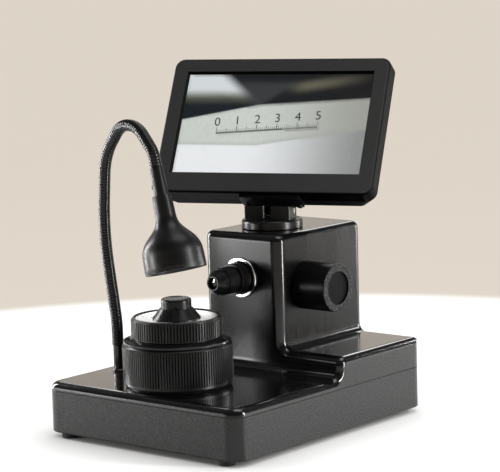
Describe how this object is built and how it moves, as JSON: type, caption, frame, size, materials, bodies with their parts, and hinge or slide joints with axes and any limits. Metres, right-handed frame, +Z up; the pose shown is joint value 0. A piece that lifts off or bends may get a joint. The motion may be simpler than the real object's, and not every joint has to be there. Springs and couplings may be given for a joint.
{
  "type": "desktop lcd inscription microscope",
  "caption": "Desktop microscope with a horizontal objective, a knurled turning and lifting specimen stage, a focus knob, a swivelling and tilting flat screen and a gooseneck lamp.",
  "frame": {"origin": "on the table, at the centre of the base's rectangular footprint", "axes": "+Z up, +X to the right of someone who faces the stage, -Y towards them"},
  "size_m": [0.2043, 0.2452, 0.2733],
  "materials": {
    "cover_plastic": "satin",
    "bezel_plastic": "satin",
    "shell_plastic": "matte",
    "knob_plastic": "satin",
    "knob_cap_plastic": "satin",
    "foot_rubber": "matte",
    "black_steel": "satin",
    "plain_steel": "satin",
    "bearing_brass": "satin",
    "black_anodised": "satin",
    "polished_black": "gloss",
    "silver_aluminium": "satin",
    "bright_chrome": "polished",
    "bracket_steel": "satin",
    "neck_steel": "satin",
    "lamp_black": "satin",
    "lamp_diffuser": "matte",
    "optical_glass": "polished",
    "display_panel": "satin",
    "board_green": "satin",
    "board_white": "matte",
    "inlet_plastic": "matte"
  },
  "bodies": {
    "stand": {"lower_tray": "cover_plastic", "upper_cover": "cover_plastic", "rubber_feet": "foot_rubber", "case_screws": "black_steel", "main_board": "board_green", "board_screws": "black_steel", "power_inlet": "inlet_plastic", "stage_guide": "silver_aluminium", "guide_screws": "black_steel", "escutcheon": "bright_chrome", "focus_frame": "silver_aluminium", "frame_screws": "black_steel", "guide_rods": "plain_steel", "shaft_bush": "bearing_brass", "swivel_collar": "black_anodised"},
    "lift_ring": {"lift_ring": "black_anodised"},
    "stage_lift": {"lift_sleeve": "black_anodised", "lift_key": "plain_steel"},
    "stage_turn": {"turn_ring": "black_anodised", "spindle_clip": "plain_steel", "stage_plate": "silver_aluminium", "specimen_holder": "black_anodised", "specimen_cup": "polished_black", "holder_clips": "black_anodised"},
    "focus_knob": {"focus_knob": "knob_plastic", "knob_cap": "knob_cap_plastic", "focus_shaft": "plain_steel", "focus_pinion": "bearing_brass", "shaft_clip": "plain_steel"},
    "objective": {"objective_nose": "polished_black", "front_lens": "optical_glass", "focus_barrel": "black_anodised", "rear_sleeve": "black_anodised", "rear_lens": "optical_glass", "carriage": "silver_aluminium", "sensor_board": "board_green", "focus_rack": "bearing_brass"},
    "swivel": {"swivel_post": "black_anodised", "swivel_washer": "plain_steel", "swivel_nut": "plain_steel", "tilt_pin": "plain_steel"},
    "screen": {"front_bezel": "bezel_plastic", "back_shell": "shell_plastic", "lcd_panel": "display_panel", "screen_glass": "optical_glass", "driver_board": "board_green", "screen_screws": "black_steel", "tilt_bracket": "bracket_steel", "bracket_screws": "black_steel"},
    "lamp": {"arm_stem": "polished_black", "arm_nut": "plain_steel", "gooseneck": "neck_steel", "lamp_ferrule": "lamp_black", "lamp_bell": "lamp_black", "lamp_switch": "lamp_black", "led_board": "board_white", "lamp_lens": "lamp_diffuser", "lens_ring": "black_anodised"}
  },
  "joints": [
    {"name": "lift_ring_turn", "type": "hinge", "parent": "stand", "child": "lift_ring", "pos_m": [0, -0.067, 0.0587], "axis": [0, 0, 1], "range_deg": [0, 345]},
    {"name": "stage_rise", "type": "slide", "parent": "stand", "child": "stage_lift", "axis": [0, 0, 1], "range_m": [0, 0.006]},
    {"name": "stage_turn", "type": "hinge", "parent": "stage_lift", "child": "stage_turn", "pos_m": [0, -0.067, 0.0868], "axis": [0, 0, 1], "continuous": true},
    {"name": "focus_knob_turn", "type": "hinge", "parent": "stand", "child": "focus_knob", "pos_m": [0.0375, 0.0407, 0.1049], "axis": [1, 0, 0], "range_deg": [-59.6, 59.6]},
    {"name": "focus_travel", "type": "slide", "parent": "stand", "child": "objective", "axis": [0, -1, 0], "range_m": [-0.005, 0.005]},
    {"name": "screen_swivel", "type": "hinge", "parent": "stand", "child": "swivel", "pos_m": [0, 0.0475, 0.1535], "axis": [0, 0, 1], "range_deg": [-80, 40]},
    {"name": "screen_tilt", "type": "hinge", "parent": "swivel", "child": "screen", "pos_m": [0, 0.0475, 0.1591], "axis": [0.9445, 0.3284, 0], "range_deg": [-20, 31]},
    {"name": "lamp_swing", "type": "hinge", "parent": "stand", "child": "lamp", "pos_m": [-0.074, -0.0531, 0.0423], "axis": [0, 0, 1], "range_deg": [-75, 5]}
  ],
  "couplings": [
    {"joint": "stage_rise", "follows": "lift_ring_turn", "m_per_rad": 0.00099644},
    {"joint": "focus_travel", "follows": "focus_knob_turn", "m_per_rad": 0.0048}
  ]
}
